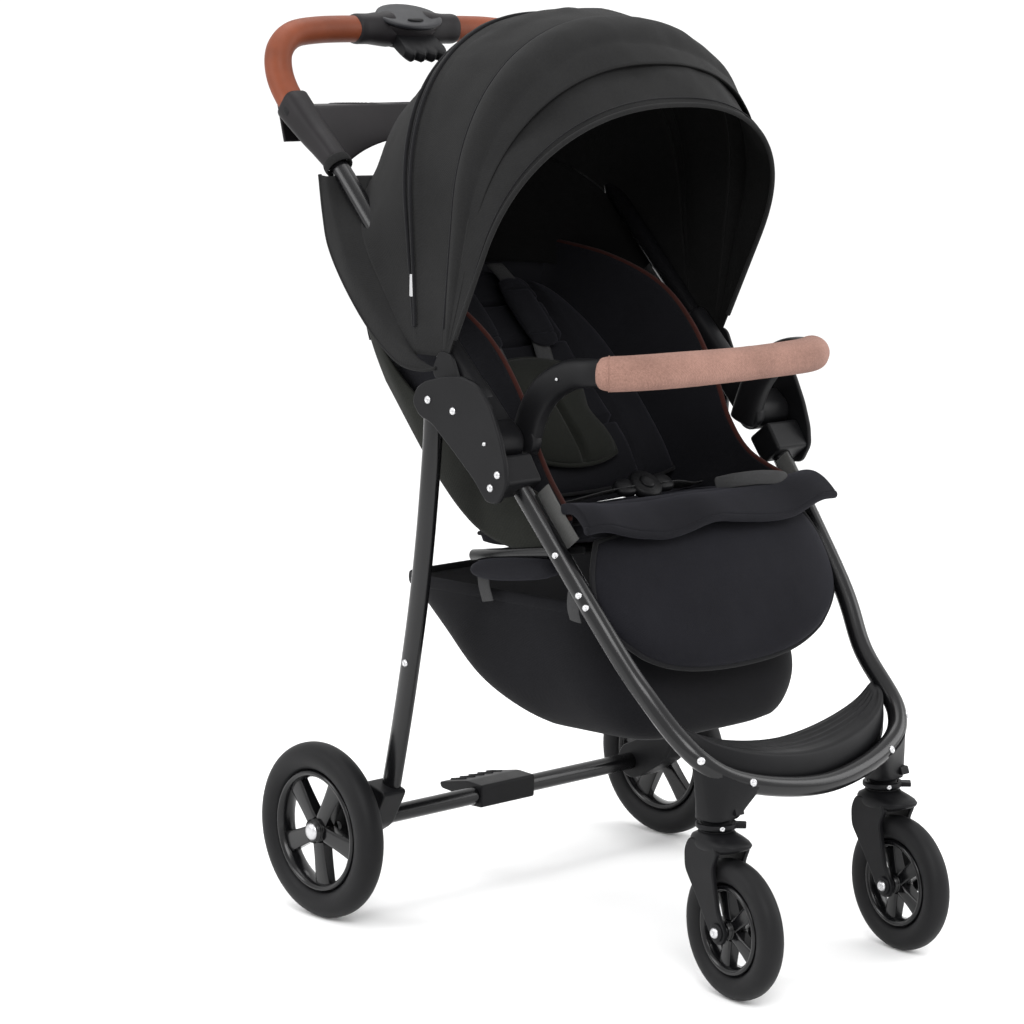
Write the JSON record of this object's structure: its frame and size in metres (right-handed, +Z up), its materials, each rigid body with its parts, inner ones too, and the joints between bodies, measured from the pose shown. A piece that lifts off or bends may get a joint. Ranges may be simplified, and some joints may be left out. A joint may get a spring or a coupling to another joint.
{
  "type": "baby stroller",
  "caption": "Folding baby stroller: swivel castors, coupled frame fold, folding canopy, reclining seat, calf rest, bumper bar, basket and parent tray.",
  "frame": {"origin": "middle of the bounding box in plan, on the ground under the wheels", "axes": "+Z up, -Y is the travel direction (front), +X is the child's left"},
  "size_m": [0.613, 0.8358, 1.0941],
  "materials": {
    "tube": "satin black powder coat",
    "plastic": "fine-grained black",
    "tray_plastic": "fine-grained dark grey",
    "rim": "black",
    "tyre": "soft matt black foam rubber",
    "steel": "zinc plated",
    "leather": "smooth tan brown",
    "canopy_fabric": "charcoal plain weave",
    "seat_fabric": "black plain weave",
    "basket_fabric": "thin black polyester",
    "insert_fabric": "dark grey green quilted",
    "webbing": "dark grey webbing",
    "bumper_fabric": "pinkish tan heather"
  },
  "bodies": {
    "front_frame": {"front_tube": "tube", "foot_tray": "plastic", "seat_base": "plastic", "seat_cushion": "seat_fabric", "basket": "basket_fabric", "buckle": "plastic", "castor_socket_left": "plastic", "castor_socket_right": "plastic", "lower_hinge_left": "plastic", "lower_hinge_right": "plastic", "seat_rail_left": "tube", "seat_rail_right": "tube"},
    "buckle_button": {"buckle_button": "steel"},
    "rear_frame": {"rear_axle": "steel", "rear_axle_tube": "tube", "rear_leg_left": "tube", "rear_leg_right": "tube", "axle_bracket_left": "plastic", "axle_bracket_right": "plastic"},
    "brake_pedal": {"brake_pedal": "plastic"},
    "upper_frame": {"handle_tube": "tube", "housing_top": "tray_plastic", "housing_bottom": "tray_plastic", "parent_tray": "tray_plastic", "canopy_rear_panel": "canopy_fabric", "handle_grip_left": "leather", "handle_grip_right": "leather", "upper_hinge_left": "plastic", "upper_hinge_right": "plastic"},
    "fold_trigger": {"fold_trigger": "plastic"},
    "canopy_mid": {"canopy_mid_panel": "canopy_fabric", "canopy_bow": "tube"},
    "canopy_front": {"canopy_front_panel": "canopy_fabric"},
    "backrest": {"backrest_board": "seat_fabric", "backrest_pad": "seat_fabric", "seat_insert": "insert_fabric", "shoulder_strap_left": "webbing", "shoulder_strap_right": "webbing"},
    "calf_rest": {"calf_rest": "seat_fabric"},
    "bumper": {"bumper_tube": "tube", "bumper_pad": "bumper_fabric", "bumper_arm_left": "plastic", "bumper_arm_right": "plastic"},
    "castor_left": {"castor_fork_left": "plastic", "castor_collar_left": "plastic", "front_axle_left": "steel"},
    "front_wheel_left": {"front_tyre_left": "tyre", "front_rim_left": "rim"},
    "castor_lock_left": {"castor_lock_left": "plastic"},
    "rear_wheel_left": {"rear_tyre_left": "tyre", "rear_rim_left": "rim"},
    "castor_right": {"castor_fork_right": "plastic", "castor_collar_right": "plastic", "front_axle_right": "steel"},
    "front_wheel_right": {"front_tyre_right": "tyre", "front_rim_right": "rim"},
    "castor_lock_right": {"castor_lock_right": "plastic"},
    "rear_wheel_right": {"rear_tyre_right": "tyre", "rear_rim_right": "rim"}
  },
  "joints": [
    {"name": "castor_swivel_left", "type": "hinge", "parent": "front_frame", "child": "castor_left", "pos_m": [0.138, -0.3044, 0.1], "axis": [0, 0, 1], "continuous": true},
    {"name": "front_wheel_spin_left", "type": "hinge", "parent": "castor_left", "child": "front_wheel_left", "pos_m": [0.13253, -0.33897, 0.079], "axis": [0.9877, -0.1564, 0], "continuous": true},
    {"name": "castor_lock_slide_left", "type": "slide", "parent": "castor_left", "child": "castor_lock_left", "axis": [0, 0, 1], "range_m": [0, 0.004]},
    {"name": "rear_wheel_spin_left", "type": "hinge", "parent": "rear_frame", "child": "rear_wheel_left", "pos_m": [0.288, 0.2106, 0.107], "axis": [1, 0, 0], "continuous": true},
    {"name": "castor_swivel_right", "type": "hinge", "parent": "front_frame", "child": "castor_right", "pos_m": [-0.138, -0.3044, 0.1], "axis": [0, 0, 1], "continuous": true},
    {"name": "front_wheel_spin_right", "type": "hinge", "parent": "castor_right", "child": "front_wheel_right", "pos_m": [-0.14347, -0.33897, 0.079], "axis": [0.9877, -0.1564, 0], "continuous": true},
    {"name": "castor_lock_slide_right", "type": "slide", "parent": "castor_right", "child": "castor_lock_right", "axis": [0, 0, 1], "range_m": [0, 0.004]},
    {"name": "rear_wheel_spin_right", "type": "hinge", "parent": "rear_frame", "child": "rear_wheel_right", "pos_m": [-0.288, 0.2106, 0.107], "axis": [1, 0, 0], "continuous": true},
    {"name": "frame_fold", "type": "hinge", "parent": "front_frame", "child": "upper_frame", "pos_m": [0, -0.0284, 0.594], "axis": [1, 0, 0], "range_deg": [-95, 0]},
    {"name": "rear_frame_fold", "type": "hinge", "parent": "front_frame", "child": "rear_frame", "pos_m": [0, 0.0596, 0.636], "axis": [1, 0, 0], "range_deg": [-38, 0]},
    {"name": "brake_press", "type": "hinge", "parent": "rear_frame", "child": "brake_pedal", "pos_m": [0, 0.2106, 0.107], "axis": [1, 0, 0], "range_deg": [-18, 0]},
    {"name": "fold_trigger_squeeze", "type": "slide", "parent": "upper_frame", "child": "fold_trigger", "axis": [0, 0.866, 0.5], "range_m": [0, 0.006], "stiffness_N_per_m": 300, "springref_m": -0.004},
    {"name": "canopy_fold", "type": "hinge", "parent": "upper_frame", "child": "canopy_mid", "pos_m": [0, 0.0576, 0.668], "axis": [1, 0, 0], "range_deg": [-15, 0], "deforming": ["canopy_rear_panel"]},
    {"name": "canopy_front_fold", "type": "hinge", "parent": "canopy_mid", "child": "canopy_front", "pos_m": [0, 0.0576, 0.668], "axis": [1, 0, 0], "range_deg": [-25, 0], "deforming": ["canopy_mid_panel"]},
    {"name": "backrest_recline", "type": "hinge", "parent": "front_frame", "child": "backrest", "pos_m": [0, 0.0606, 0.47], "axis": [1, 0, 0], "range_deg": [0, 25]},
    {"name": "calf_rest_lift", "type": "hinge", "parent": "front_frame", "child": "calf_rest", "pos_m": [0, -0.1364, 0.494], "axis": [1, 0, 0], "range_deg": [-60, 0]},
    {"name": "bumper_swing", "type": "hinge", "parent": "front_frame", "child": "bumper", "pos_m": [0, -0.0564, 0.588], "axis": [1, 0, 0], "range_deg": [-45, 0]},
    {"name": "buckle_press", "type": "slide", "parent": "front_frame", "child": "buckle_button", "axis": [0, 0.6157, -0.788], "range_m": [0, 0.003], "stiffness_N_per_m": 200, "springref_m": -0.003}
  ],
  "couplings": [
    {"joint": "rear_frame_fold", "follows": "frame_fold", "ratio": 0.4},
    {"joint": "canopy_front_fold", "follows": "canopy_fold", "ratio": 1.66}
  ]
}
